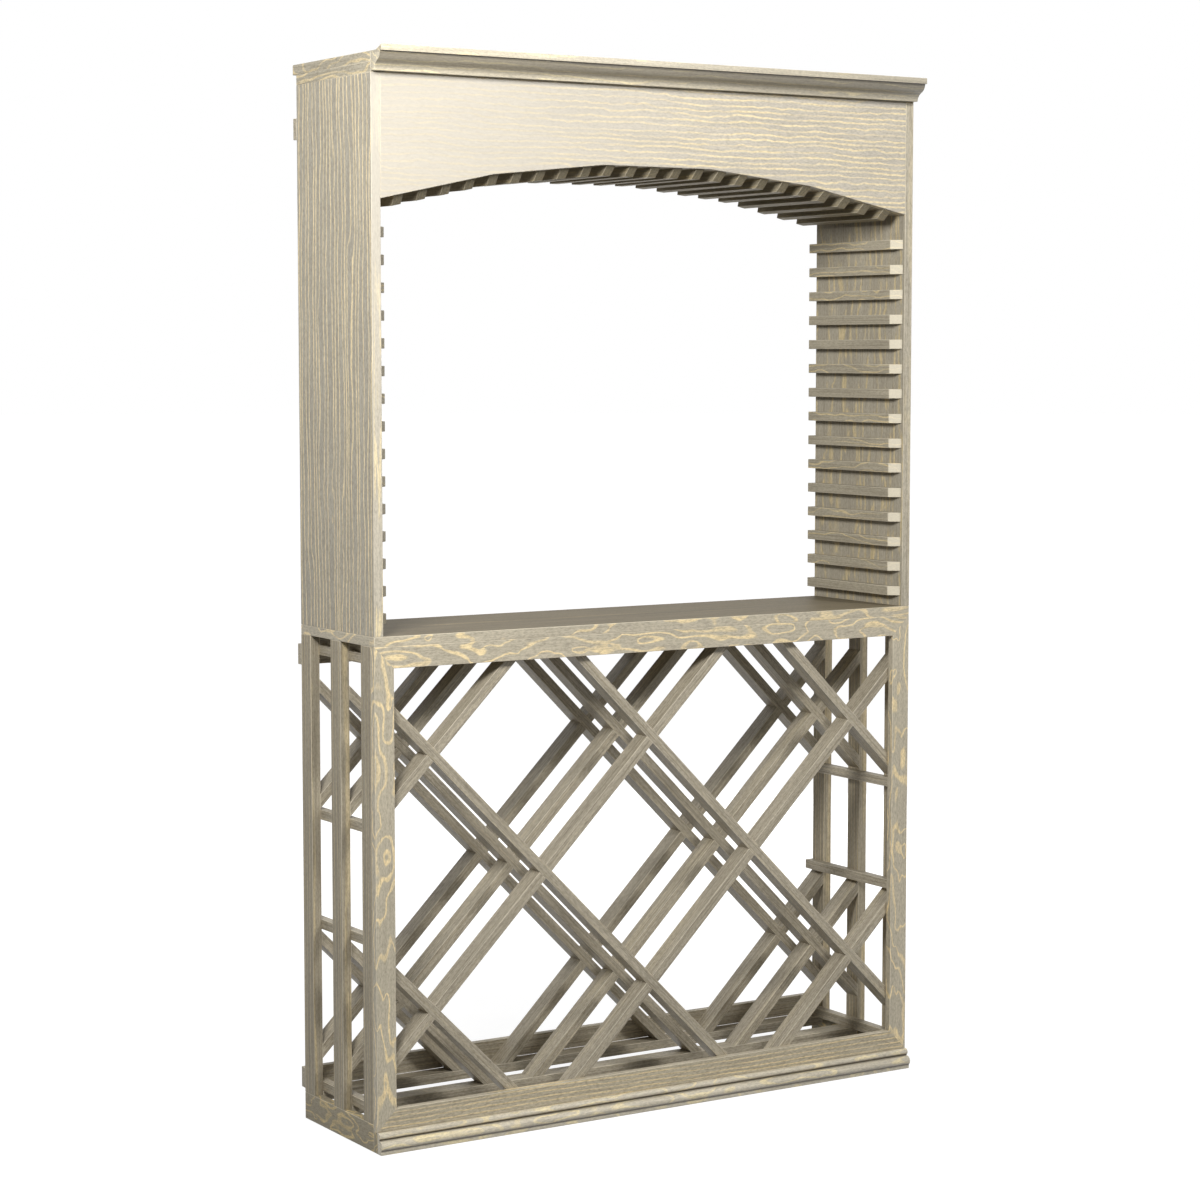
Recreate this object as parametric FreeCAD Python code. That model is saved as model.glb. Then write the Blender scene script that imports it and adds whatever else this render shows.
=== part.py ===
import FreeCAD, Part
import math
import os

# A free-standing tasting station in grey-washed wood: a base with diamond bins for bottles, a table at
# standing height, and a slatted display bay under an arched ceiling. Nothing on it moves.
# X runs along the width, +Y from front to back, +Z up. The origin is on the floor, under the middle of the
# station's outer box.

V = FreeCAD.Vector

# Overall sizes, in millimetres
width = 1172.0                # over the two side panels
carcass_depth = 286.0         # side panels and table top, front to back
table_height = 914.0          # floor to the working surface
panel_height = 968.0          # side panels above the table
board = 18.0                  # thickness of panels, table, roof, posts, skirts and valance

# Base
frame_thickness = 14.0        # mitred face frame and the plinth under it
frame_width = 38.5            # stiles and rails seen from the front
plinth_height = 38.0          # plinth board, and the moulding that covers it
skirt_height = 49.0           # side boards that the posts stand on
post_depth = 38.0             # posts and lattice strips, front to back
side_cleat = 18.0             # square strips along the inside of the posts
foot_gap = 3.0                # from a middle side cleat to the strip end beside it
rear_cleat_height = 38.0
rear_cleat_thickness = 14.0

# Diamond lattice
bin_clear = 309.0             # clear side of a square bin
strip_face = 18.0             # strip width seen from the front
lap_play = 0.2                # side play of a half lap

# Base moulding, as projections in front of the frame and heights above the floor
fillet_projection = 13.5
fillet_height = 7.5
belly_projection = 17.1
belly_height = 14.5
groove_projection = 6.4
ovolo_top = 24.5
bead_projection = 9.3
bead_height = 31.5
bead_foot = 26.0
bead_top_projection = 4.6

# Display bay
slat = 18.0                   # square section of all slats
slat_pitch = 47.8             # side slats, centre to centre
slat_setback = 5.0            # from the front edge to where a slat's bevelled end starts
lowest_slat = 29.4            # centre of the lowest side slat above the table
valance_end = 213.0           # height of the valance where it meets the side panels
arch_rise = 75.0              # rise of the arc that the corners of the arch lie on
arch_cuts = 5                 # straight cuts from one end of the arch to the other
soffit_thickness = 6.0        # sheet that closes the arch from above
ceiling_gap = 30.0            # least gap between ceiling slats
seat_gap = 0.1                # from a ceiling slat to the arch above it
upper_cleat_drop = 59.0       # top of the upper rear cleat below the panels' tops

# Crown moulding, as projections in front of the panels
crown_lift = 2.0              # its foot above the panels' tops
crown_height = 42.5
crown_projection = 41.0
crown_fascia = 11.2           # height of the flat band at the top
crown_step = 5.5              # set-back under that band
crown_foot = 12.4             # projection of the lower edge
crown_ledge = 19.0            # flat top beside the roof, before the rise to the fascia
crown_swell = 2.7             # depth of each arc of the ogee

# Places worked out from the sizes
half_width = width / 2
inner = half_width - board
front = crown_projection - (crown_projection + carcass_depth + rear_cleat_thickness) / 2
back = front + carcass_depth
frame_back = front + frame_thickness
wall_plane = back + rear_cleat_thickness
table_underside = table_height - board
panel_top = table_height + panel_height
spring = panel_top - valance_end
arch_radius = (inner ** 2 + arch_rise ** 2) / (2 * arch_rise)
arch_centre = spring + arch_rise - arch_radius
lattice_low = plinth_height + board
lattice_high = table_underside - board
lattice_middle = (lattice_low + lattice_high) / 2
layer_step = (back - post_depth - frame_back) / 2
layers = {"front": frame_back, "middle": frame_back + layer_step, "rear": back - post_depth}
sides = {"left": -1, "right": 1}


def box(low, high):
    """A board from its low corner to its high corner."""
    size = high - low
    return Part.makeBox(size.x, size.y, size.z, low)


def prism(points, run):
    """A flat outline swept along one straight run."""
    outline = Part.makePolygon(points + points[:1])
    return Part.Face(outline).extrude(run)


def side_box(side, depth_in, thickness, y_low, y_high, z_low, z_high):
    """A board parallel to the sides, that starts depth_in from the outer face on the named side."""
    outer = half_width - depth_in
    x_pair = sorted((sides[side] * outer, sides[side] * (outer - thickness)))
    return box(V(x_pair[0], y_low, z_low), V(x_pair[1], y_high, z_high))


def edges_to_solid(edges, run):
    """A closed outline of lines and arcs swept along one straight run."""
    return Part.Face(Part.Wire(edges)).extrude(run)


def line(a, b):
    return Part.LineSegment(a, b).toShape()


def arc(a, middle, b):
    return Part.Arc(a, middle, b).toShape()


# Base carcass


def moulding_point(projection, height):
    return V(-half_width, front - projection, height)


def base_moulding():
    """Fillet, ovolo, groove and bead across the front, cut square at both ends."""
    floor_back = moulding_point(0, 0)
    floor_front = moulding_point(fillet_projection, 0)
    fillet = moulding_point(fillet_projection, fillet_height)
    belly = moulding_point(belly_projection, belly_height)
    groove_low = moulding_point(groove_projection, ovolo_top)
    groove_high = moulding_point(groove_projection, bead_foot)
    bead = moulding_point(bead_projection, bead_height)
    bead_top = moulding_point(bead_top_projection, plinth_height)
    top_back = moulding_point(0, plinth_height)
    edges = [line(floor_back, floor_front), line(floor_front, fillet), arc(fillet, belly, groove_low)]
    edges += [line(groove_low, groove_high), arc(groove_high, bead, bead_top)]
    edges += [line(bead_top, top_back), line(top_back, floor_back)]
    return edges_to_solid(edges, V(width, 0, 0))


def front_plinth():
    """The board behind the moulding that the face frame stands on."""
    return box(V(-half_width, front, 0), V(half_width, frame_back, plinth_height))


def skirt(side):
    """Low side board on the floor, under the posts."""
    return side_box(side, 0, board, frame_back, back, 0, skirt_height)


def frame_member(corners):
    """One mitred member of the face frame from its outline in X and Z."""
    points = [V(x, front, z) for x, z in corners]
    return prism(points, V(0, frame_thickness, 0))


def frame_stile(side):
    outer = sides[side] * half_width
    opening = sides[side] * (half_width - frame_width)
    low = plinth_height
    high = table_underside
    corners = [(outer, low), (outer, high), (opening, high - frame_width), (opening, low + frame_width)]
    return frame_member(corners)


def frame_rail(outer_z, opening_z):
    opening = half_width - frame_width
    corners = [(-half_width, outer_z), (half_width, outer_z), (opening, opening_z), (-opening, opening_z)]
    return frame_member(corners)


def post(side, layer):
    """Upright of one layer, on the skirt and under the table."""
    y_low = layers[layer]
    return side_box(side, 0, board, y_low, y_low + post_depth, skirt_height, table_underside)


def layer_rail(layer, z_low):
    """Flat strip across one layer, above or below its lattice."""
    y_low = layers[layer]
    return box(V(-inner, y_low, z_low), V(inner, y_low + post_depth, z_low + board))


# Diamond lattice

diagonal = (bin_clear + strip_face) * math.sqrt(2)
reach = inner + (lattice_high - lattice_low) / 2
strip_end = strip_face / math.sqrt(2)


def strip_offsets():
    """Where the strips of one direction cross the lattice's middle line, from left to right."""
    count = math.floor((reach - strip_face) / diagonal + 0.5)
    return [(i + 0.5) * diagonal for i in range(-count, count)]


def bar(direction, offset, y_low, depth, face_width):
    """An untrimmed strip. Direction 1 rises to the right, -1 falls."""
    middle = V(offset / 2, y_low, lattice_middle - direction * offset / 2)
    along = V(1, 0, direction).normalize()
    across = V(-direction, 0, 1).normalize()
    end = along * (2 * reach)
    edge = across * (face_width / 2)
    points = [middle - end - edge, middle + end - edge, middle + end + edge, middle - end + edge]
    return prism(points, V(0, depth, 0))


def cleat_levels():
    """Undersides of the four side cleats on each side, by name."""
    nearest_end = min(abs(inner - offset) for offset in strip_offsets())
    clear = strip_end + foot_gap
    rise = nearest_end - clear - side_cleat
    if rise < 0:
        rise = nearest_end + clear
    return {
        "top": lattice_high - side_cleat,
        "upper": lattice_middle + rise,
        "lower": lattice_middle - rise - side_cleat,
        "bottom": lattice_low,
    }


def side_strip(side, level):
    """Square cleat from front to back along the inside of the posts."""
    z_low = cleat_levels()[level]
    return side_box(side, board, side_cleat, frame_back, back, z_low, z_low + side_cleat)


def lattice_strips(layer, direction):
    """All strips of one direction in one layer, half lapped into those of the other direction."""
    y_low = layers[layer]
    half = post_depth / 2
    room = box(V(-inner, y_low, lattice_low), V(inner, y_low + post_depth, lattice_high))
    cleats = [side_strip(side, level) for side in sides for level in cleat_levels()]
    lap_low = y_low + half if direction < 0 else y_low
    laps = [bar(-direction, offset, lap_low, half, strip_face + lap_play) for offset in strip_offsets()]
    strips = []
    for offset in strip_offsets():
        strip = bar(direction, offset, y_low, post_depth, strip_face).common(room)
        strips += strip.cut(laps + cleats).Solids
    return Part.makeCompound(strips)


# Table and rear


def table_top():
    return box(V(-half_width, front, table_underside), V(half_width, back, table_height))


def rear_cleat(z_low):
    """Batten across the back that keeps the station off the wall."""
    return box(V(-half_width, back, z_low), V(half_width, wall_plane, z_low + rear_cleat_height))


# Display bay


def side_panel(side):
    return side_box(side, 0, board, front, back, table_height, panel_top)


def slat_bar(seat, inward, across):
    """A square slat from front to back with a bevelled front end. Seat is the middle of its fixed face."""
    bevel_start = front + slat_setback
    outline = [(0, bevel_start), (slat, bevel_start + slat), (slat, back), (0, back)]
    corner = seat - across * (slat / 2)
    points = [corner + inward * rise + V(0, y, 0) for rise, y in outline]
    return prism(points, across * slat)


def side_slats(side):
    """The ladder of slats on one side panel, up to the ceiling slats."""
    highest = spring - table_height - 1.5 * slat - lowest_slat
    count = math.floor(highest / slat_pitch) + 1
    slats = []
    for i in range(count):
        seat = V(sides[side] * inner, 0, table_height + lowest_slat + i * slat_pitch)
        slats.append(slat_bar(seat, V(-sides[side], 0, 0), V(0, 0, 1)))
    return Part.makeCompound(slats)


def arch_corners(y, lift):
    """Corners of the arch from left to right, with its straight cuts moved up by lift."""
    half_angle = math.asin(inner / arch_radius)
    step = 2 * half_angle / arch_cuts
    radius = arch_radius + lift / math.cos(step / 2)
    angles = [i * step - half_angle for i in range(arch_cuts + 1)]
    return [V(radius * math.sin(angle), y, arch_centre + radius * math.cos(angle)) for angle in angles]


def arch_board(y_low):
    """Board between the panels with its lower edge cut to the arch."""
    top_corners = [V(inner, y_low, panel_top), V(-inner, y_low, panel_top)]
    return prism(arch_corners(y_low, 0) + top_corners, V(0, board, 0))


def soffit_panel():
    """Thin sheet over the arch, between the front and rear arch boards."""
    y_low = front + board
    y_high = back - board
    lower = arch_corners(y_low, 0)
    upper = arch_corners(y_low, soffit_thickness)
    sheet = prism(lower + upper[::-1], V(0, y_high - y_low, 0))
    return sheet.common(box(V(-inner, y_low, spring), V(inner, y_high, panel_top)))


def arch_point(distance):
    """The point of the arch at a distance along its cuts from the left end."""
    corners = arch_corners(0, 0)
    cut_length = (corners[1] - corners[0]).Length
    cut = min(math.floor(distance / cut_length), arch_cuts - 1)
    along = (corners[cut + 1] - corners[cut]).normalize()
    return corners[cut] + along * (distance - cut * cut_length)


def ceiling_slats():
    """Slats spread evenly along the arch, each with its two upper edges close to it."""
    corners = arch_corners(0, 0)
    length = arch_cuts * (corners[1] - corners[0]).Length
    count = math.floor((length - ceiling_gap) / (slat + ceiling_gap))
    gap = (length - count * slat) / (count + 1)
    slats = []
    for i in range(count):
        start = gap + i * (slat + gap)
        left_edge = arch_point(start)
        right_edge = arch_point(start + slat)
        across = (right_edge - left_edge).normalize()
        inward = V(across.z, 0, -across.x)
        seat = (left_edge + right_edge) * 0.5 + inward * seat_gap
        slats.append(slat_bar(seat, inward, across))
    return Part.makeCompound(slats)


def top_board():
    """Board over the panels, flush all round."""
    return box(V(-half_width, front, panel_top), V(half_width, back, panel_top + board))


def roof_board():
    """Upper board, which reaches back to the wall plane."""
    roof_low = panel_top + board
    return box(V(-half_width, front, roof_low), V(half_width, wall_plane, roof_low + board))


def crown_moulding():
    """Fascia over an ogee, cut square at both ends, with a bevelled top behind the fascia."""
    foot_z = panel_top + crown_lift
    top_z = foot_z + crown_height
    fascia_z = top_z - crown_fascia
    ledge_z = panel_top + 2 * board
    throat = crown_projection - crown_step

    def point(projection, z):
        return V(-half_width, front - projection, z)

    foot_back = point(0, foot_z)
    foot = point(crown_foot, foot_z)
    middle = point((crown_foot + throat) / 2, (foot_z + fascia_z) / 2)
    neck = point(throat, fascia_z)
    chord = neck - foot
    swell = V(0, -chord.z, chord.y).normalize() * crown_swell
    hollow_middle = (foot + middle) * 0.5 - swell
    round_middle = (middle + neck) * 0.5 + swell
    fascia_foot = point(crown_projection, fascia_z)
    fascia_top = point(crown_projection, top_z)
    ledge_front = point(crown_ledge, ledge_z)
    ledge_back = point(0, ledge_z)
    edges = [line(foot_back, foot), arc(foot, hollow_middle, middle), arc(middle, round_middle, neck)]
    edges += [line(neck, fascia_foot), line(fascia_foot, fascia_top), line(fascia_top, ledge_front)]
    edges += [line(ledge_front, ledge_back), line(ledge_back, foot_back)]
    return edges_to_solid(edges, V(width, 0, 0))


def base_pieces():
    pieces = {
        "base_moulding": base_moulding(),
        "front_plinth": front_plinth(),
        "base_top_rail": frame_rail(table_underside, table_underside - frame_width),
        "base_bottom_rail": frame_rail(plinth_height, plinth_height + frame_width),
        "base_rear_top_cleat": rear_cleat(lattice_high - rear_cleat_height),
        "base_rear_bottom_cleat": rear_cleat(lattice_low),
        "table_top": table_top(),
    }
    for side in sides:
        pieces[side + "_skirt"] = skirt(side)
        pieces["base_" + side + "_stile"] = frame_stile(side)
        for level in cleat_levels():
            pieces[side + "_" + level + "_side_cleat"] = side_strip(side, level)
        for layer in layers:
            pieces[side + "_" + layer + "_post"] = post(side, layer)
    for layer in layers:
        pieces["lattice_" + layer + "_top_rail"] = layer_rail(layer, lattice_high)
        pieces["lattice_" + layer + "_bottom_rail"] = layer_rail(layer, plinth_height)
        pieces["lattice_" + layer + "_rising_strips"] = lattice_strips(layer, 1)
        pieces["lattice_" + layer + "_falling_strips"] = lattice_strips(layer, -1)
    return pieces


def bay_pieces():
    pieces = {
        "valance": arch_board(front),
        "rear_arch_board": arch_board(back - board),
        "soffit_panel": soffit_panel(),
        "ceiling_slats": ceiling_slats(),
        "upper_rear_cleat": rear_cleat(panel_top - upper_cleat_drop - rear_cleat_height),
        "top_board": top_board(),
        "roof_board": roof_board(),
        "crown_moulding": crown_moulding(),
    }
    for side in sides:
        pieces[side + "_panel"] = side_panel(side)
        pieces[side + "_slats"] = side_slats(side)
    return pieces


def main():
    os.makedirs("parts", exist_ok=True)
    pieces = {**base_pieces(), **bay_pieces()}
    for name, shape in pieces.items():
        shape.exportStep("parts/" + name + ".step")
        print(name, len(shape.Solids), "solids,", round(shape.Volume / 1000), "cm3, valid", shape.isValid())


main()
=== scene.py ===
# %% [markdown]
# # A tasting station in grey-washed wood
# The construction is already there: boards, strips and mouldings at their real size. This lesson gives them
# what a joiner and a finisher would add: eased edges, boards cut from real growth rings, and a grey wash that
# leaves the rings pale. The station stands on a plain floor in soft light.

# %% Load the construction
import random
from math import radians

import bmesh
import bpy
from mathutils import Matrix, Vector


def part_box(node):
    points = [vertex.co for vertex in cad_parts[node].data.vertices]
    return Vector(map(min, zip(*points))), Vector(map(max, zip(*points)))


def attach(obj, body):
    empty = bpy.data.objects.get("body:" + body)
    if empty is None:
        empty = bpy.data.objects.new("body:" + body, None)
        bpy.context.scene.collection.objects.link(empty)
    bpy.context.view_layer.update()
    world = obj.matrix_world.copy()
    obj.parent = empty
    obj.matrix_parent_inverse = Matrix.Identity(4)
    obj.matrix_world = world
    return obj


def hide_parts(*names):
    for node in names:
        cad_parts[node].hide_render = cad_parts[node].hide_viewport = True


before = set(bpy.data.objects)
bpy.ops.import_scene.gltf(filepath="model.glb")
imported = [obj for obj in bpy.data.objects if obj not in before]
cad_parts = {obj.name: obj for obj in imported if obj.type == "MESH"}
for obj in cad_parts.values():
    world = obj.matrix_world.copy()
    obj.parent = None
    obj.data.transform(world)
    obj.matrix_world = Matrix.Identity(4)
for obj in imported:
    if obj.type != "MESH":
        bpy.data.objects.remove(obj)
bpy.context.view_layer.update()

scene = bpy.context.scene

# %% [markdown]
# ## Camera
# The picture to match was taken from the front left, a little above the table, with a long lens. A camera can be
# placed by eye, but here its place and angle were worked out from the station's straight edges, so that every
# board lands where it should.

# %% Camera
CAMERA_PLACE = (-2.88205, -4.52927, 1.40665)
CAMERA_PITCH = 85.060
CAMERA_TURN = -32.078
CAMERA_LENS = 86.106

camera_data = bpy.data.cameras.new("camera")
camera_data.sensor_width = 36.0
camera_data.sensor_fit = "HORIZONTAL"
camera_data.lens = CAMERA_LENS
camera = bpy.data.objects.new("camera", camera_data)
camera.location = CAMERA_PLACE
camera.rotation_euler = (radians(CAMERA_PITCH), 0, radians(CAMERA_TURN))
scene.collection.objects.link(camera)
scene.camera = camera
scene.view_settings.view_transform = "Standard"
print("camera at", CAMERA_PLACE, "lens", CAMERA_LENS)

# %% [markdown]
# ## Shader arithmetic
# A wood finish is mostly arithmetic on coordinates. Nodes can be wired one by one, but the sums are easier to read
# as sums. This small class wraps a socket, so that `ring * 0.5 + 1` adds the Math nodes by itself. Every other kind
# of node comes from its one method, `node`.

# %% A socket that does sums


class Wire:
    """One output socket of a shader tree, or the tree alone when it has no socket yet."""

    def __init__(self, tree, socket=None):
        self.tree = tree
        self.socket = socket

    def node(self, kind, settings=None, out=0, **values):
        """Adds a node, sets its settings first, then fills or links its sockets by name or number."""
        made = self.tree.nodes.new(kind)
        for name, value in (settings or {}).items():
            setattr(made, name, value)
        for name, value in values.items():
            key = int(name[1:]) if name[1:].isdigit() else name.replace("_", " ")
            target = made.inputs[key]
            if isinstance(value, Wire):
                self.tree.links.new(value.socket, target)
            else:
                target.default_value = value
        return Wire(self.tree, made.outputs[out]) if made.outputs else made

    def math(self, operation, a, b=None):
        values = {"_0": a} if b is None else {"_0": a, "_1": b}
        return self.node("ShaderNodeMath", {"operation": operation}, **values)

    def __add__(self, other):
        return self.math("ADD", self, other)

    def __sub__(self, other):
        return self.math("SUBTRACT", self, other)

    def __rsub__(self, other):
        return self.math("SUBTRACT", other, self)

    def __mul__(self, other):
        return self.math("MULTIPLY", self, other)

    def __truediv__(self, other):
        return self.math("DIVIDE", self, other)

    __radd__ = __add__
    __rmul__ = __mul__

    def scaled(self, amounts):
        """A vector with each of its parts multiplied."""
        return self.node("ShaderNodeVectorMath", {"operation": "MULTIPLY"}, _0=self, _1=amounts)

    def moved(self, amounts):
        """A vector with something added to each of its parts."""
        return self.node("ShaderNodeVectorMath", {"operation": "ADD"}, _0=self, _1=amounts)

    def length(self):
        """How long a vector is."""
        return self.node("ShaderNodeVectorMath", {"operation": "LENGTH"}, "Value", _0=self)

    def noise(self, amounts, detail=2.0, roughness=0.5):
        """Smooth noise from 0 to 1, with its own number of waves per metre in each direction."""
        place = self.scaled(amounts)
        return self.node("ShaderNodeTexNoise", Vector=place, Scale=1.0, Detail=detail, Roughness=roughness)

    def between(self, low, high):
        """A soft step from 0 at low to 1 at high."""
        values = dict(_0=self, _1=low, _2=high, _3=0.0, _4=1.0)
        return self.node("ShaderNodeMapRange", {"interpolation_type": "SMOOTHSTEP"}, **values)

    def mix(self, first, second):
        """The first colour where this is 0 and the second where it is 1."""
        settings = {"data_type": "RGBA"}
        return self.node("ShaderNodeMix", settings, 2, _0=self, _6=first, _7=second)


print("shader arithmetic ready")

# %% [markdown]
# ## Grey-washed wood
# A tree grows in rings round its pith, and a board is a slice of that tree. Painting lines on each face would not
# meet at the edges, so the finish is a solid: each point of a board knows its place in the tree, from an attribute
# called `grain` (along the pith, and two distances from it). Noise makes the rings wander and bunch together. The
# grey wash sinks into the soft wood, and the hard line of each ring stays a pale straw colour. Such a line keeps its
# width wherever it turns, so its distance is measured with the slope of the ring count: four counts close together
# give that slope. Where the count is nearly level a line would spread to a blot, so there the slope is taken as less.


# %% Growth rings
def rgb(hex_colour):
    """A linear colour from the way it is written for a screen."""
    parts = [int(hex_colour[i:i + 2], 16) / 255 for i in (0, 2, 4)]
    linear = [p / 12.92 if p <= 0.04045 else ((p + 0.055) / 1.055) ** 2.4 for p in parts]
    return (*linear, 1.0)


# Waves per metre along the pith and in two directions across it, one step of the slope in metres, and the slope, in
# rings per metre, below which a ring counts as level
BUNCH_WAVES = (1.4, 48.0, 48.0)
RIPPLE_WAVES = (34.0, 62.0, 62.0)
STEP = 0.0006
LEVEL = 18.0


def ring_count(place, ring, wander, waves, bunch, ripple):
    """Rings from the pith to a place, strayed by slow waves, bunched unevenly and rippled."""
    distance = place.scaled((0.0, 1.0, 1.0)).length()
    stray = place.noise(waves, 2.0, 0.45) - 0.5
    uneven = place.noise(BUNCH_WAVES, 1.0) - 0.5
    short = place.noise(RIPPLE_WAVES, 1.0) - 0.5
    return distance / ring + stray * (wander / ring) + uneven * bunch + short * ripple


def ring_line(grain, width, **rings):
    """1 on the hard line of a ring and 0 beside it. The width is in metres."""
    here = ring_count(grain, **rings)
    moves = ((STEP, 0, 0), (0, STEP, 0), (0, 0, STEP))
    gains = [ring_count(grain.moved(move), **rings) - here for move in moves]
    slope = grain.node("ShaderNodeCombineXYZ", _0=gains[0], _1=gains[1], _2=gains[2]).length() / STEP
    slope = slope * slope / (slope + LEVEL)
    off_line = grain.math("ABSOLUTE", grain.math("FRACT", here) - 0.5) / slope
    return 1.0 - off_line.between(width * 0.22, width * 0.68)


print("rings ready")

# %% [markdown]
# ## One way to finish, many kinds of stock
# All the boards were washed in the same way, but they were cut from different stock. Some show bold flames, some fine
# straight lines and some hardly any. A material could be built by hand for each, but then they would drift apart. So
# one function makes every finish, and a table says how each kind of stock differs. Three more things change the
# colour: eased edges are worn pale and lit slat ends are painted pale as a highlight, the corners and downward faces
# of mouldings get painted shade, and a painted sheen hides the lines at one end of a board.

# %% The finish
FIBRE_TONE, HAIR_TONE, FLECK_TONE = "5f584b", "544a3a", "6a6356"
# Pale edge colour for wear and for painted highlights, a painted sheen colour and a painted shade colour, with their
# amounts below
WORN_AND_LIT_TONE, SHEEN_TONE, SHADE_TONE = "ebe2cc", "b4ad9f", "43392a"
SHADED, WEAR_AND_LIT, SHEEN_MIX, FILL = 0.86, 0.4, 0.75, 0.8
BUMP_DEPTH = 0.0005


def washed_wood(name, wash, straw, line, strength, broken, speckle, streak, gloss, rough=0.42, matt=-0.06,
                relief=0.3, dash=9.0, rare=0.0, painted_sheen=None, underside_shade=0.0, **rings):
    """A finish with these values:
    wash and straw are the colours of the soft wood and of the ring lines, and line is a line's width in metres.
    strength is how plainly the lines show, broken how far they fade, and dash how often along a metre.
    speckle and streak are the amounts of dark mottling, and rare is how much of the stock has no lines.
    gloss, rough and relief are the shine, its dullness and the depth of the grain, and matt is added on a line.
    The sheen value is an axis and two places on it: from the first to the second, a painted sheen gives way to the
    lines.
    The underside value is the amount of painted shade on faces that look down."""
    material = bpy.data.materials.new(name)
    material.use_nodes = True
    tree = material.node_tree
    tree.nodes.clear()
    start = Wire(tree)
    grain = start.node("ShaderNodeAttribute", {"attribute_name": "grain"}, "Vector")
    arris = start.node("ShaderNodeAttribute", {"attribute_name": "arris"}, "Fac")
    painted_shade = start.node("ShaderNodeAttribute", {"attribute_name": "painted_shade"}, "Fac")

    # Pale lines that fade here and there
    fade = 1.0 - grain.noise((dash, 60.0, 60.0), 2.0).between(0.36, 0.58)
    pale_line = ring_line(grain, line, **rings) * (1.0 - fade * broken) * strength
    if rare:
        pale_line = pale_line * grain.noise((0.9, 2.0, 2.0), 0.0).between(rare - 0.05, rare + 0.05)

    # Fine fibres, short dark flecks and the cloudy wash
    fibre = grain.noise((130.0, 420.0, 420.0), 3.0, 0.7)
    hair = grain.noise((5.0, 330.0, 330.0), 3.0, 0.7)
    fleck = grain.noise((48.0, 300.0, 300.0), 1.0).between(0.62, 0.76)
    cloud = grain.noise((4.0, 18.0, 18.0), 3.0)
    body = cloud.between(0.25, 0.75).mix(rgb(wash), [SHADED * part for part in rgb(wash)])
    lined = pale_line.mix(body, rgb(straw))
    mottled = (fibre.between(0.36, 0.72) * speckle).mix(lined, rgb(FIBRE_TONE))
    haired = (hair.between(0.40, 0.70) * streak).mix(mottled, rgb(HAIR_TONE))
    flecked = (fleck * (0.7 * speckle)).mix(haired, rgb(FLECK_TONE))

    # Painted sheen, worn edges with painted highlights, and painted shade in corners and on faces that look down
    if painted_sheen:
        axis, sheen_full, clear = painted_sheen
        place = start.node("ShaderNodeTexCoord", None, "Object")
        across = start.node("ShaderNodeSeparateXYZ", None, axis, _0=place)
        flecked = (SHEEN_MIX - across.between(sheen_full, clear) * SHEEN_MIX).mix(flecked, rgb(SHEEN_TONE))
    worn_and_lit = (arris * WEAR_AND_LIT).mix(flecked, rgb(WORN_AND_LIT_TONE))
    if underside_shade:
        normal = start.node("ShaderNodeNewGeometry", None, "Normal")
        rise = start.node("ShaderNodeSeparateXYZ", None, "Z", _0=normal)
        painted_shade = painted_shade + (0.0 - rise).between(0.1, 0.9) * underside_shade
    corner_shaded = (painted_shade * FILL).mix(worn_and_lit, rgb(SHADE_TONE))

    # Shine and the feel of the grain
    dull = rough + fibre * 0.18 + pale_line * matt
    height = fibre * 0.3 + hair * 0.35 + pale_line * 0.4
    bumped = start.node("ShaderNodeBump", Strength=relief, Distance=BUMP_DEPTH, Height=height)
    shader = start.node("ShaderNodeBsdfPrincipled", Base_Color=corner_shaded, Roughness=dull, Normal=bumped,
                        Specular_IOR_Level=gloss)
    start.node("ShaderNodeOutputMaterial", Surface=shader)
    return material


print("finish ready")

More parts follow.
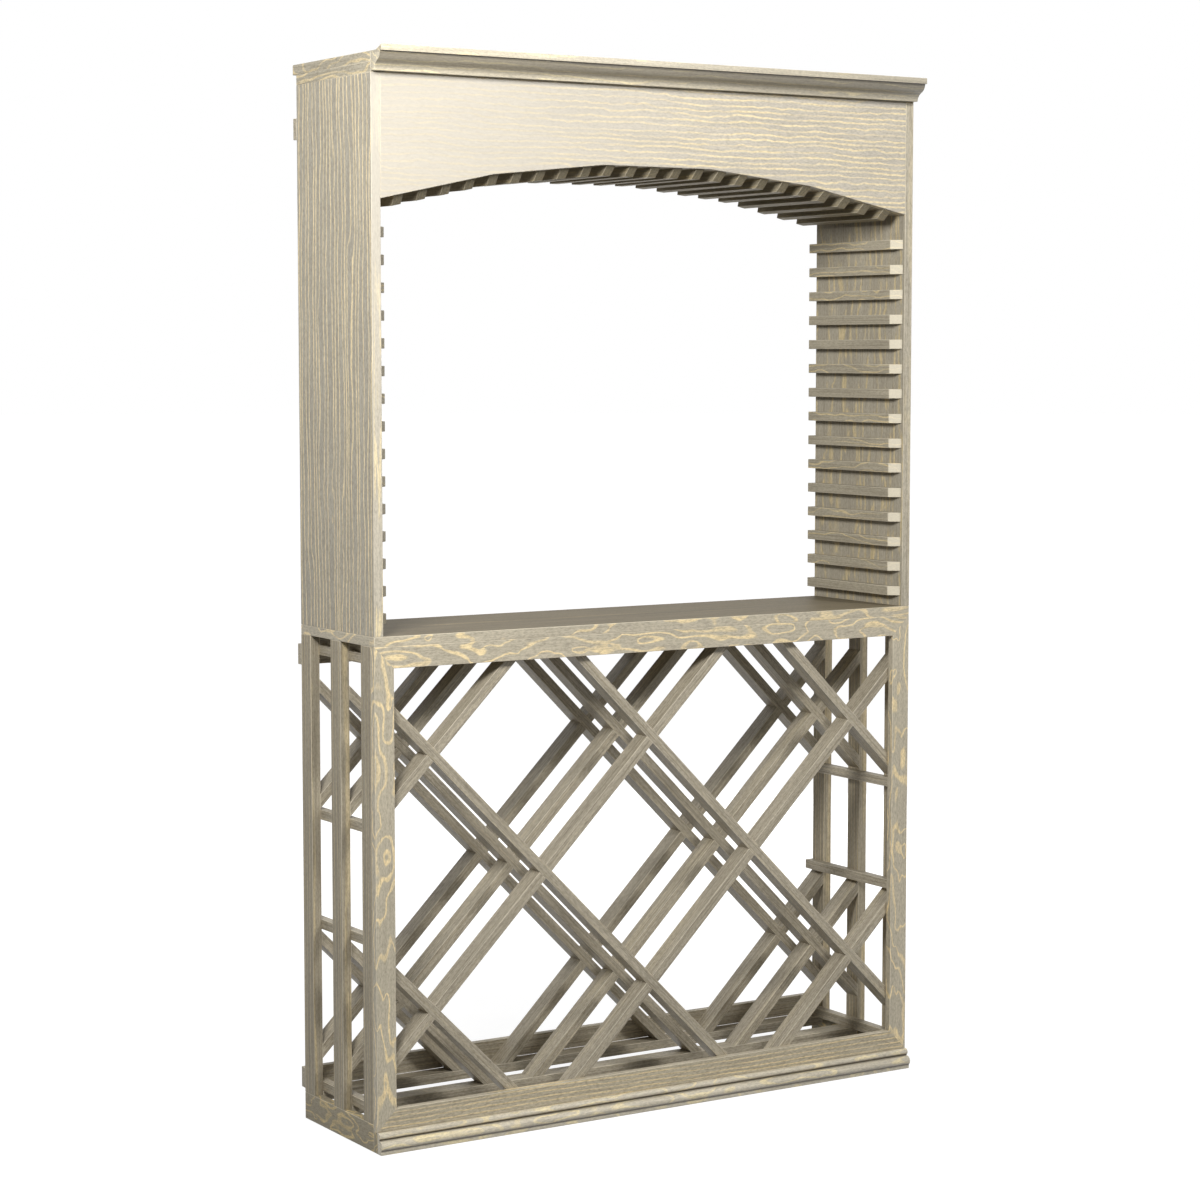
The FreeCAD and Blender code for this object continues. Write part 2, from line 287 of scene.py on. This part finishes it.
# %% The kinds of stock
STOCK = {
    "panel": dict(
        wash="b4ad9d", straw="efdbaf", line=0.0046, strength=1.0, broken=0.42, speckle=0.46,
        streak=0.24, gloss=0.45,
        ring=0.0135, wander=0.040, waves=(3.6, 9.0, 9.0), bunch=1.3, ripple=0.22),
    "roof": dict(
        wash="bdb5a2", straw="dfcda6", line=0.0032, strength=1.0, broken=0.45, speckle=0.42,
        streak=0.28, gloss=0.05, rough=0.6,
        ring=0.0120, wander=0.080, waves=(7.0, 20.0, 20.0), bunch=0.4, ripple=0.3),
    "plain": dict(
        wash="c5bca8", straw="d8caa9", line=0.0030, strength=0.5, broken=0.5, speckle=0.42,
        streak=0.40, gloss=0.4,
        ring=0.0090, wander=0.012, waves=(3.0, 10.0, 10.0), bunch=0.8, ripple=0.3),
    # A painted sheen at the top of this edge, where it meets the valance
    "edge": dict(
        wash="c8bfab", straw="e9d7ab", line=0.0024, strength=1.0, broken=0.4, speckle=0.38,
        streak=0.18, gloss=0.95, rough=0.36, painted_sheen=("Z", 1.80, 1.10),
        ring=0.0090, wander=0.060, waves=(1.8, 14.0, 60.0), bunch=0.5, ripple=0.2),
    "dashed": dict(
        wash="b6ae9c", straw="d6c499", line=0.0075, strength=0.85, broken=1.0, speckle=0.36,
        streak=0.30, gloss=0.1, dash=20.0,
        ring=0.0210, wander=0.080, waves=(4.5, 20.0, 20.0), bunch=1.0, ripple=0.4),
    # A painted sheen over the left end, which hides the lines there
    "valance": dict(
        wash="c2b9a8", straw="ebd9ae", line=0.0044, strength=1.0, broken=0.55, speckle=0.40,
        streak=0.14, gloss=1.0, rough=0.36, matt=0.1, relief=0.12, painted_sheen=("X", -0.42, 0.22),
        ring=0.0104, wander=0.020, waves=(6.0, 13.0, 13.0), bunch=0.9, ripple=0.6),
    "frame": dict(
        wash="c5bba4", straw="f7e0ae", line=0.0036, strength=1.0, broken=0.35, speckle=0.46,
        streak=0.18, gloss=0.85,
        ring=0.0155, wander=0.115, waves=(6.5, 18.0, 18.0), bunch=0.4, ripple=0.3),
    # Darker than the frame: painted shade on the low skirts and plinth
    "skirt": dict(
        wash="b1a790", straw="e2cc98", line=0.0032, strength=1.0, broken=0.35, speckle=0.42,
        streak=0.20, gloss=0.2,
        ring=0.0120, wander=0.100, waves=(9.0, 22.0, 22.0), bunch=0.4, ripple=0.3),
    "straight": dict(
        wash="c9bea6", straw="f0dbad", line=0.0034, strength=0.95, broken=0.5, speckle=0.44,
        streak=0.32, gloss=0.3,
        ring=0.0090, wander=0.012, waves=(3.0, 10.0, 10.0), bunch=0.8, ripple=0.3),
    "strip": dict(
        wash="bdb39e", straw="d2c4a2", line=0.0030, strength=0.35, broken=0.5, speckle=0.50,
        streak=0.52, gloss=0.5,
        ring=0.0120, wander=0.010, waves=(3.0, 14.0, 14.0), bunch=0.8, ripple=0.1),
    "post": dict(
        wash="b1a792", straw="d9c79e", line=0.0028, strength=0.75, broken=0.5, speckle=0.40,
        streak=0.44, gloss=0.3,
        ring=0.0095, wander=0.012, waves=(2.5, 12.0, 12.0), bunch=1.0, ripple=0.1),
    "slat": dict(
        wash="b7ae99", straw="e0cd9f", line=0.0030, strength=0.95, broken=0.5, speckle=0.34,
        streak=0.36, gloss=0.15, rare=0.48,
        ring=0.0120, wander=0.060, waves=(7.0, 20.0, 20.0), bunch=0.6, ripple=0.3),
    "ceiling": dict(
        wash="a0967f", straw="b8a780", line=0.0022, strength=0.6, broken=0.7, speckle=0.34,
        streak=0.40, gloss=0.1,
        ring=0.0070, wander=0.014, waves=(5.0, 16.0, 16.0), bunch=0.8, ripple=0.2),
    # Darker than the table's edges: painted shade on the top
    "table": dict(
        wash="807764", straw="a0906c", line=0.0026, strength=0.5, broken=0.6, speckle=0.32,
        streak=0.42, gloss=0.05,
        ring=0.0090, wander=0.016, waves=(2.0, 10.0, 10.0), bunch=1.0, ripple=0.1),
    # Mouldings, and the foot below, get painted shade on the faces that look down
    "moulding": dict(
        wash="d0c6ae", straw="f0e0b4", line=0.0034, strength=0.95, broken=0.5, speckle=0.38,
        streak=0.22, gloss=1.0, rough=0.34, underside_shade=0.6,
        ring=0.0140, wander=0.050, waves=(6.0, 16.0, 16.0), bunch=0.5, ripple=0.4),
    "foot": dict(
        wash="dcd2bb", straw="f6e6ba", line=0.0030, strength=1.0, broken=0.4, speckle=0.38,
        streak=0.22, gloss=1.0, rough=0.34, underside_shade=0.6,
        ring=0.0120, wander=0.060, waves=(8.0, 18.0, 18.0), bunch=0.5, ripple=0.4),
}
FINISHES = {name: washed_wood(name + "_wood", **values) for name, values in STOCK.items()}
print("finishes:", sorted(FINISHES))

# %% [markdown]
# ## From solid to board
# The construction's solids have knife edges and flat triangles. A real board has its arrises eased with sandpaper.
# A Bevel modifier could do that, but the inside corners of the half laps should stay tight, so only the convex edges
# are picked and rounded here. The rounded faces are marked with `arris`, because wear shows there first. Then every
# corner of every face gets its `grain`: the board is placed in an imagined tree, near the pith for bold flames or far
# from it for straight lines. The table and the roof have lipped ends: a strip is glued there whose grain runs along
# the end, so no end grain shows. The tight corners of a moulding get painted shade, a darker colour that thins out
# away from the corner, marked with its own attribute.
# A board can have another finish on one of its sides, as the table has on its top, with painted shade there.

# %% The joiner's helpers
DRAWS = random.Random(7)
EASED, FINE_EASED, BROAD_EASED, SHEET_EASED = 0.0008, 0.0006, 0.001, 0.0005
X, Y, Z = Vector((1, 0, 0)), Vector((0, 1, 0)), Vector((0, 0, 1))


def islands(bm):
    """The separate boards of one mesh, each as a list of its corners."""
    left = set(bm.verts)
    found = []
    for start in bm.verts:
        if start not in left:
            continue
        left.discard(start)
        board, queue = [], [start]
        while queue:
            corner = queue.pop()
            board.append(corner)
            for edge in corner.link_edges:
                other = edge.other_vert(corner)
                if other in left:
                    left.discard(other)
                    queue.append(other)
        found.append(board)
    return found


def mitred(face):
    """Whether a face of the frame lies in a glued mitre."""
    return min(abs(face.normal.x), abs(face.normal.z)) > 0.3


def ease(bm, width, glued=False):
    """Rounds the convex edges and marks the rounded faces. A glued frame keeps its mitres tight."""
    arris = bm.faces.layers.float.new("arris")
    sharp = [e for e in bm.edges if e.is_manifold and e.calc_face_angle_signed() > radians(25)]
    if glued:
        sharp = [e for e in sharp if not any(mitred(face) for face in e.link_faces)]
    made = bmesh.ops.bevel(bm, geom=sharp, offset=width, offset_type="OFFSET", segments=2, profile=0.5,
                           affect="EDGES", clamp_overlap=True)
    for face in made["faces"]:
        face[arris] = 1.0
        face.smooth = True


FILLET = 0.0007
SHADE_LINE = 0.0025


def paint_corner_shade(bm, reach, lift):
    """Paints shade into the tight inside corners of a moulding, a darker colour which thins out over the reach.
    It rises to the lift above a corner, and the face below is split at the line where the painted shade ends."""
    tight = [e for e in bm.edges if e.is_manifold and e.calc_face_angle_signed() < radians(-30)]
    seams = [(e.verts[0].co + e.verts[1].co) / 2 for e in tight]
    bmesh.ops.bevel(bm, geom=tight, offset=FILLET, offset_type="OFFSET", segments=1, profile=0.5,
                    affect="EDGES", clamp_overlap=True)
    for seam in seams:
        everything = bm.verts[:] + bm.edges[:] + bm.faces[:]
        bmesh.ops.bisect_plane(bm, geom=everything, plane_co=seam - SHADE_LINE * Z, plane_no=Z)
    painted_shade = bm.faces.layers.float.new("painted_shade")
    for face in bm.faces:
        middle = face.calc_center_median()
        above = [seam for seam in seams if seam.z > middle.z - lift]
        face[painted_shade] = max([0.0] + [1.0 - (middle - seam).length / reach for seam in above])


def saw(bm, along, face, cut, lipped=False):
    """Gives each board its place in the tree. Cut 0 is near the pith, 1 is far to the side of it."""
    grain = bm.loops.layers.float_vector.new("grain")
    side = face.cross(along)
    for board in islands(bm):
        middle = sum((v.co for v in board), Vector()) / len(board)
        shift = Vector((DRAWS.uniform(0, 40), DRAWS.uniform(-0.012, 0.012), DRAWS.uniform(0.03, 0.05)))
        shift += cut * Vector((0, DRAWS.uniform(0.32, 0.40), 0))
        for corner in (loop for v in board for loop in v.link_loops):
            place = corner.vert.co - middle
            at_end = lipped and abs(corner.face.normal.dot(along)) > 0.7
            axes = (side, face, along) if at_end else (along, side, face)
            corner[grain] = Vector([place.dot(axis) for axis in axes]) + shift


def finish_piece(bm, name, nodes, finish, smooth=False):
    """Turns the mesh into a piece of the scene that stands for its nodes."""
    mesh = bpy.data.meshes.new(name)
    for f in bm.faces:
        f.smooth = f.smooth or smooth
    bm.to_mesh(mesh)
    bm.free()
    if smooth:
        mesh.set_sharp_from_angle(angle=radians(30))
    mesh.materials.append(FINISHES[finish])
    piece = bpy.data.objects.new(name, mesh)
    scene.collection.objects.link(piece)
    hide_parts(*nodes)
    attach(piece, "root")
    return piece


def board(node, along, face, cut, finish, slot, width=EASED, smooth=False, lipped=False, glued=False,
          sides=(), reach=0.0, lift=0.001):
    """One node of the construction, cleaned, eased, sawn and finished. Sides: other finishes, each with its
    direction. Reach and lift: where painted shade darkens the corners of a moulding."""
    bm = bmesh.new()
    bm.from_mesh(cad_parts[node].data)
    bmesh.ops.remove_doubles(bm, verts=bm.verts, dist=1e-6)
    bmesh.ops.dissolve_limit(bm, angle_limit=radians(0.5), verts=bm.verts, edges=bm.edges)
    ease(bm, width, glued)
    if reach:
        paint_corner_shade(bm, reach, lift)
    saw(bm, along, face, cut, lipped)
    for number, (_, side) in enumerate(sides, 1):
        for f in bm.faces:
            if f.normal.dot(side) > 0.7:
                f.material_index = number
    piece = finish_piece(bm, node + "_wood", [node], finish, smooth)
    for name, _ in sides:
        piece.data.materials.append(FINISHES[name])
    return piece


print("helpers ready")

# %% [markdown]
# ## Base and table
# The face frame and the table's edge show bold flames, so they are cut near the pith. Posts, rails and cleats are
# plain strips with straight grain. The table's top is darker than its edges, painted shade on the top. The skirts
# and plinth are darker than the frame, painted shade low down.

# %% Base boards
made = []
# Stiles and skirts; the skirts' darker finish is painted shade low down
for side in ("left", "right"):
    made.append(board(f"base_{side}_stile", Z, -Y, 0, "frame", "board_wood", glued=True))
    made.append(board(f"{side}_skirt", Y, -X if side == "left" else X, 0, "skirt", "board_wood"))
made.append(board("base_top_rail", X, -Y, 0, "frame", "board_wood", glued=True))
made.append(board("base_bottom_rail", X, -Y, 0.8, "straight", "board_wood", glued=True))
made.append(board("front_plinth", X, -Y, 0, "skirt", "board_wood"))
# Its top has the darker table finish, painted shade
made.append(board("table_top", X, Z, 0, "frame", "board_wood", BROAD_EASED, lipped=True, sides=[("table", Z)]))
print("base boards:", len(made))

# %% Posts, rails and cleats
strips = []
for side in ("left", "right"):
    outward = -X if side == "left" else X
    for layer in ("front", "middle", "rear"):
        strips.append(board(f"{side}_{layer}_post", Z, outward, 0.5, "post", "strip_wood"))
    for level in ("top", "upper", "lower", "bottom"):
        strips.append(board(f"{side}_{level}_side_cleat", Y, outward, 0.5, "strip", "strip_wood"))
for layer in ("front", "middle", "rear"):
    for level in ("top", "bottom"):
        strips.append(board(f"lattice_{layer}_{level}_rail", X, Z, 0.5, "strip", "strip_wood"))
for name in ("base_rear_top_cleat", "base_rear_bottom_cleat", "upper_rear_cleat"):
    strips.append(board(name, X, Y, 0.5, "strip", "strip_wood"))
print("strips:", len(strips))

# %% [markdown]
# ## Lattice
# Each layer is a set of rising strips and a set of falling ones, half lapped. The laps are cut in the construction
# already, so each set is one mesh whose strips get their own place in the tree.

# %% Lattice strips
for layer in ("front", "middle", "rear"):
    for name, rise in (("rising", 1), ("falling", -1)):
        along = Vector((1, 0, rise)).normalized()
        piece = board(f"lattice_{layer}_{name}_strips", along, -Y, 0.5, "strip", "strip_wood", FINE_EASED)
        print(piece.name, len(piece.data.polygons), "faces")

# %% [markdown]
# ## Display bay
# The side panels are wide boards with straight upright lines outside and broken dashes inside. The valance's lines
# are wavy and level. The mouldings are curved, so their faces are shaded smooth between the sharp edges.

# %% Panels, roof and mouldings
# The left panel's front edge has a painted sheen at its top
board("left_panel", Z, -X, 1, "panel", "board_wood", sides=[("edge", -Y), ("dashed", X)])
board("right_panel", Z, X, 0.2, "dashed", "board_wood", sides=[("plain", -Y), ("panel", X)])
# The valance has a painted sheen at its left end
board("valance", X, -Y, 0.8, "valance", "board_wood", BROAD_EASED)
board("rear_arch_board", X, Y, 0.8, "straight", "board_wood", BROAD_EASED)
board("soffit_panel", X, -Z, 0.3, "panel", "board_wood", SHEET_EASED, smooth=True)
board("top_board", X, Z, 1, "roof", "board_wood", lipped=True)
board("roof_board", X, Z, 1, "roof", "board_wood", lipped=True)
# The mouldings' tight corners get painted shade
board("crown_moulding", X, -Y, 0.1, "moulding", "moulding_wood", FINE_EASED, smooth=True, reach=0.015)
board("base_moulding", X, -Y, 0.1, "foot", "moulding_wood", FINE_EASED, smooth=True, reach=0.005, lift=0.004)
print("bay and mouldings done")

# %% [markdown]
# ## Slats
# The slats repeat: a ladder on each side panel and a row under the arch. They could be copied in a loop, but a
# Geometry Nodes tree says the rule once: slats follow a path, one every pitch, and each lies with both edges of its
# seat on that path. A ladder's path is a straight line up or down a panel. The arch is five straight cuts, so its
# path has corners, and a slat that lands on a corner tilts half way by itself.

# %% One slat
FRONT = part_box("valance")[0].y
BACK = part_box("left_panel")[1].y
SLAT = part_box("left_slats")[1].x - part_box("left_slats")[0].x
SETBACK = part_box("left_slats")[0].y - FRONT


def slat_pattern(name, lit_end):
    """A slat that hangs under its seat at z = 0. Its bevelled front end gets the given amount of pale edge colour, a
    painted highlight where the light falls on it.
    """
    bm = bmesh.new()
    start = FRONT + SETBACK
    outline = [(start, 0), (start + SLAT, -SLAT), (BACK, -SLAT), (BACK, 0)]
    corners = [bm.verts.new((-SLAT / 2, y, z)) for y, z in outline]
    face = bm.faces.new(corners)
    swept = bmesh.ops.extrude_face_region(bm, geom=[face])
    moved = [v for v in swept["geom"] if isinstance(v, bmesh.types.BMVert)]
    bmesh.ops.translate(bm, verts=moved, vec=(SLAT, 0, 0))
    bmesh.ops.recalc_face_normals(bm, faces=bm.faces)
    ease(bm, EASED)
    for face in bm.faces:
        if face.normal.y < -0.6 and face.normal.z < -0.6:
            face[bm.faces.layers.float["arris"]] = lit_end
    saw(bm, Y, -Z, 0.5)
    mesh = bpy.data.meshes.new(name)
    bm.to_mesh(mesh)
    bm.free()
    return bpy.data.objects.new(name, mesh)


# The right ladder's slats have pale bevelled ends, a painted highlight where the key light falls; the left's are
# plain
LIT_SLAT = slat_pattern("bare_slat", 1.5)
PLAIN_SLAT = slat_pattern("plain_slat", 0.0)
print("slat:", len(LIT_SLAT.data.polygons), "faces, section", round(SLAT, 4))

# %% The rule for a row of slats
SLAT_INPUTS = (("Slat", "NodeSocketObject"), ("Path", "NodeSocketObject"), ("Count", "NodeSocketInt"),
               ("First", "NodeSocketFloat"), ("Pitch", "NodeSocketFloat"), ("Width", "NodeSocketFloat"),
               ("Seed", "NodeSocketInt"), ("Finish", "NodeSocketMaterial"))


def slat_rule():
    """Builds the tree and returns it with the identifiers of its inputs."""
    tree = bpy.data.node_groups.new("slat_row", "GeometryNodeTree")
    keys = {}
    for name, kind in SLAT_INPUTS:
        keys[name] = tree.interface.new_socket(name, in_out="INPUT", socket_type=kind).identifier
    tree.interface.new_socket("Row", in_out="OUTPUT", socket_type="NodeSocketGeometry")
    source = tree.nodes.new("NodeGroupInput")
    given = {name: Wire(tree, source.outputs[name]) for name, _ in SLAT_INPUTS}
    go = Wire(tree)

    # Both edges of each seat, measured along the path
    index = go.node("GeometryNodeInputIndex")
    path = go.node("GeometryNodeObjectInfo", {"transform_space": "ORIGINAL"}, "Geometry", Object=given["Path"])
    path = go.node("GeometryNodeMeshToCurve", Mesh=path)
    near = given["First"] + index * given["Pitch"]
    walk = {"mode": "LENGTH"}
    left = go.node("GeometryNodeSampleCurve", walk, "Position", Curves=path, Length=near)
    right = go.node("GeometryNodeSampleCurve", walk, "Position", Curves=path, Length=near + given["Width"])
    middle = go.node("ShaderNodeMix", {"data_type": "VECTOR"}, 1, _0=0.5, _4=left, _5=right)
    across = go.node("ShaderNodeVectorMath", {"operation": "SUBTRACT"}, _0=right, _1=left)
    run = go.node("ShaderNodeSeparateXYZ", None, "X", _0=across)
    climb = go.node("ShaderNodeSeparateXYZ", None, "Z", _0=across)
    turn = go.node("ShaderNodeCombineXYZ", Y=go.math("ARCTAN2", 0.0 - climb, run))

    # One slat on each, with its own place in the tree
    points = go.node("GeometryNodePoints", Count=given["Count"], Position=middle)
    shape = go.node("GeometryNodeObjectInfo", {"transform_space": "ORIGINAL"}, "Geometry", Object=given["Slat"])
    row = go.node("GeometryNodeInstanceOnPoints", Points=points, Instance=shape, Rotation=turn)
    low, high = (0.0, -0.2, -0.02), (40.0, 0.2, 0.02)
    draw = go.node("FunctionNodeRandomValue", {"data_type": "FLOAT_VECTOR"}, 0, _0=low, _1=high,
                   ID=index, Seed=given["Seed"])
    store = {"data_type": "FLOAT_VECTOR", "domain": "INSTANCE"}
    row = go.node("GeometryNodeStoreNamedAttribute", store, Geometry=row, Name="shift", Value=draw)
    row = go.node("GeometryNodeRealizeInstances", Geometry=row)
    grain = go.node("GeometryNodeInputNamedAttribute", {"data_type": "FLOAT_VECTOR"}, Name="grain")
    shift = go.node("GeometryNodeInputNamedAttribute", {"data_type": "FLOAT_VECTOR"}, Name="shift")
    moved = go.node("ShaderNodeVectorMath", {"operation": "ADD"}, _0=grain, _1=shift)
    store = {"data_type": "FLOAT_VECTOR", "domain": "CORNER"}
    row = go.node("GeometryNodeStoreNamedAttribute", store, Geometry=row, Name="grain", Value=moved)
    row = go.node("GeometryNodeSetMaterial", Geometry=row, Material=given["Finish"])
    result = tree.nodes.new("NodeGroupOutput")
    tree.links.new(row.socket, result.inputs[0])
    return tree, keys


SLAT_TREE, SLAT_KEYS = slat_rule()
print("slat rule:", len(SLAT_TREE.nodes), "nodes")


# %% Ladders and ceiling
def path_of(name, points):
    """A chain of straight edges through the points, for the rule to follow."""
    mesh = bpy.data.meshes.new(name)
    mesh.from_pydata(points, [(i, i + 1) for i in range(len(points) - 1)], [])
    return bpy.data.objects.new(name, mesh)


def slat_row(node, slat, points, count, first, pitch, seed, finish):
    """Runs the rule, turns the result into a plain mesh and lets it stand for the node."""
    carrier = bpy.data.objects.new(node + "_rule", bpy.data.meshes.new(node + "_rule"))
    scene.collection.objects.link(carrier)
    modifier = carrier.modifiers.new("row", "NODES")
    modifier.node_group = SLAT_TREE
    values = {"Slat": slat, "Path": path_of(node + "_path", points), "Count": count, "First": first,
              "Pitch": pitch, "Width": SLAT, "Seed": seed, "Finish": FINISHES[finish]}
    for name, value in values.items():
        modifier[SLAT_KEYS[name]] = value
    bpy.context.view_layer.update()
    ready = carrier.evaluated_get(bpy.context.evaluated_depsgraph_get())
    mesh = bpy.data.meshes.new_from_object(ready)
    mesh.name = node + "_wood"
    bpy.data.objects.remove(carrier)
    piece = bpy.data.objects.new(node + "_wood", mesh)
    scene.collection.objects.link(piece)
    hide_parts(node)
    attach(piece, "root")
    print(piece.name, count, "slats,", len(mesh.polygons), "faces")
    return piece


PITCH = 0.0478
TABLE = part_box("table_top")[1].z
for side in ("left", "right"):
    low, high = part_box(side + "_slats")
    count = round((high.z - low.z - SLAT) / PITCH) + 1
    seat = low.x if side == "left" else high.x
    ends = [(seat, 0, TABLE), (seat, 0, high.z)]
    first = low.z - TABLE if side == "left" else 0.0
    slat = PLAIN_SLAT if side == "left" else LIT_SLAT
    points = ends if side == "left" else ends[::-1]
    slat_row(side + "_slats", slat, points, count, first, PITCH, seed=3, finish="slat")

# The arch's corners are those of the valance's lower edge, less a hair
valance_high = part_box("valance")[1]
HAIR = 0.0001
lower = [v.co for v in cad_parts["valance"].data.vertices if v.co.z < valance_high.z - 0.01]
ARCH = sorted({(round(co.x, 6), 0.0, round(co.z - HAIR, 6)) for co in lower})
arch_length = sum((Vector(b) - Vector(a)).length for a, b in zip(ARCH, ARCH[1:]))
CEILING = 23
gap = (arch_length - CEILING * SLAT) / (CEILING + 1)
slat_row("ceiling_slats", PLAIN_SLAT, ARCH, CEILING, gap, SLAT + gap, seed=11, finish="ceiling")
print("arch:", len(ARCH) - 1, "cuts,", round(arch_length, 4), "m")

# %% [markdown]
# ## Stage
# A plain pale floor and soft light. The key light stands on the left, for the sides, and the front light high on the
# right. Either would burn a glare into the pale gloss, so they are left out of reflections. A third light does the
# opposite: it shows only in the gloss, and puts a soft sheen on the valance. A fill from behind keeps the back
# readable. The floor and the background are white to the camera, and the floor keeps the station's soft shadow.


# %% Floor, background and lamps
def seen_white(start):
    """1 for the rays that see the background: straight from the camera, mirrored or through glass."""
    kinds = ("Camera", "Glossy", "Transmission")
    rays = [start.node("ShaderNodeLightPath", None, f"Is {kind} Ray") for kind in kinds]
    return start.math("MAXIMUM", start.math("MAXIMUM", rays[0], rays[1]), rays[2])


FLOOR_RADIUS = 60.0
FLOOR_GREY = 0.24
NEAR_WHITE = 0.88


def floor():
    """A round floor, a shade off white under the station and white further out."""
    bm = bmesh.new()
    bmesh.ops.create_circle(bm, cap_ends=True, segments=64, radius=FLOOR_RADIUS)
    mesh = bpy.data.meshes.new("floor")
    bm.to_mesh(mesh)
    bm.free()
    material = bpy.data.materials.new("floor_white")
    material.use_nodes = True
    tree = material.node_tree
    tree.nodes.clear()
    start = Wire(tree)
    matt = start.node("ShaderNodeBsdfDiffuse", Color=(FLOOR_GREY, FLOOR_GREY, FLOOR_GREY, 1.0))
    place = start.node("ShaderNodeTexCoord", None, "Object")
    white = place.length().between(0.5, 2.2) * (1.0 - NEAR_WHITE) + NEAR_WHITE
    glow = start.node("ShaderNodeEmission", Color=(1.0, 1.0, 1.0, 1.0), Strength=seen_white(start) * white)
    both = start.node("ShaderNodeAddShader", _0=matt, _1=glow)
    start.node("ShaderNodeOutputMaterial", Surface=both)
    mesh.materials.append(material)
    piece = bpy.data.objects.new("floor", mesh)
    piece.location.z = -0.0005
    scene.collection.objects.link(piece)


AMBIENT = 0.16


def background():
    """White where it is seen, and a dim even light on everything else."""
    world = bpy.data.worlds.new("studio")
    scene.world = world
    world.use_nodes = True
    tree = world.node_tree
    tree.nodes.clear()
    start = Wire(tree)
    strength = seen_white(start) * (1.0 - AMBIENT) + AMBIENT
    sky = start.node("ShaderNodeBackground", Color=(1.0, 1.0, 1.0, 1.0), Strength=strength)
    start.node("ShaderNodeOutputWorld", Surface=sky)


def lamp(name, place, target, size, power, shine=True, spread=True):
    """A soft rectangular light. Shine: it shows in the gloss. Spread: it lights the colour."""
    data = bpy.data.lights.new(name, "AREA")
    data.shape = "RECTANGLE"
    data.size, data.size_y = size
    data.energy = power
    lit = bpy.data.objects.new(name, data)
    lit.location = place
    lit.rotation_euler = (Vector(target) - Vector(place)).to_track_quat("-Z", "Y").to_euler()
    lit.visible_camera = False
    lit.visible_glossy = shine
    lit.visible_diffuse = spread
    scene.collection.objects.link(lit)


floor()
background()
lamp("key", (-2.00, -1.65, 2.45), (-0.1, 0, 2.6), (0.8, 0.8), 98, shine=False)
lamp("front", (1.60, -4.4, 4.60), (0, 0, 0.6), (1.0, 0.9), 170, shine=False)
lamp("sheen", (1.85, -4.0, 2.35), (-0.2, 0, 1.1), (1.0, 0.9), 36, spread=False)
lamp("rear", (2.80, 2.60, 1.00), (0, 0, 1.0), (1.6, 1.6), 95, shine=False)
print("stage ready")
